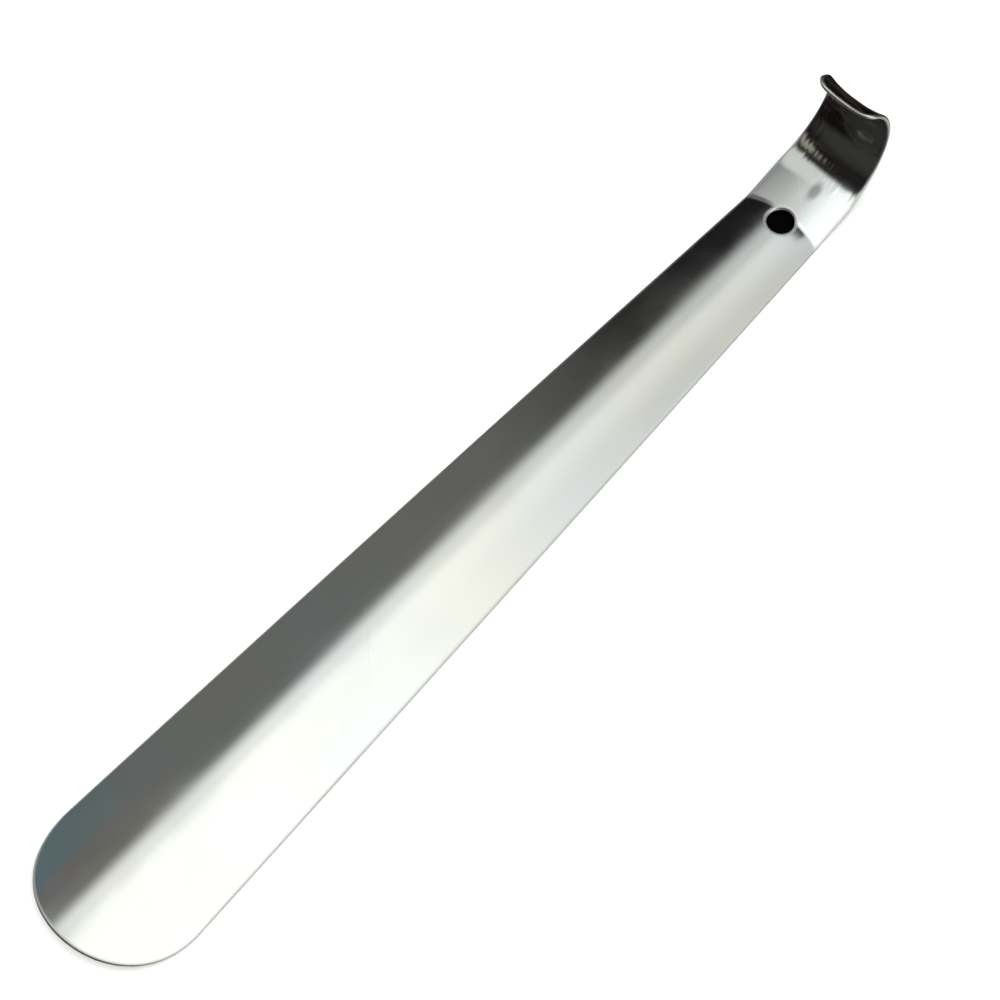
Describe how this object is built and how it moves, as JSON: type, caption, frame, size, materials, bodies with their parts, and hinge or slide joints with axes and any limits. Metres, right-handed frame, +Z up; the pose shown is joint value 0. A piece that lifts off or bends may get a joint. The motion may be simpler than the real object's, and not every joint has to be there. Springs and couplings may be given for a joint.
{
  "type": "shoehorn",
  "caption": "Long one-piece pressed steel shoehorn: tapered channel blade with a round tip, a hanging hole at a shallow bend, a short neck and a rolled hook.",
  "frame": {"origin": "middle of the footprint, on the surface that the long edges of the blade rest on", "axes": "+X from the tip towards the hook, +Z up on the convex side, +Y across the blade to the left when looking towards the hook"},
  "size_m": [0.3002, 0.046, 0.0403],
  "materials": {
    "stainless_sheet": "satin polished, smooth, edges softened"
  },
  "bodies": {
    "root": {"pressed_blade": "stainless_sheet"}
  },
  "joints": []
}
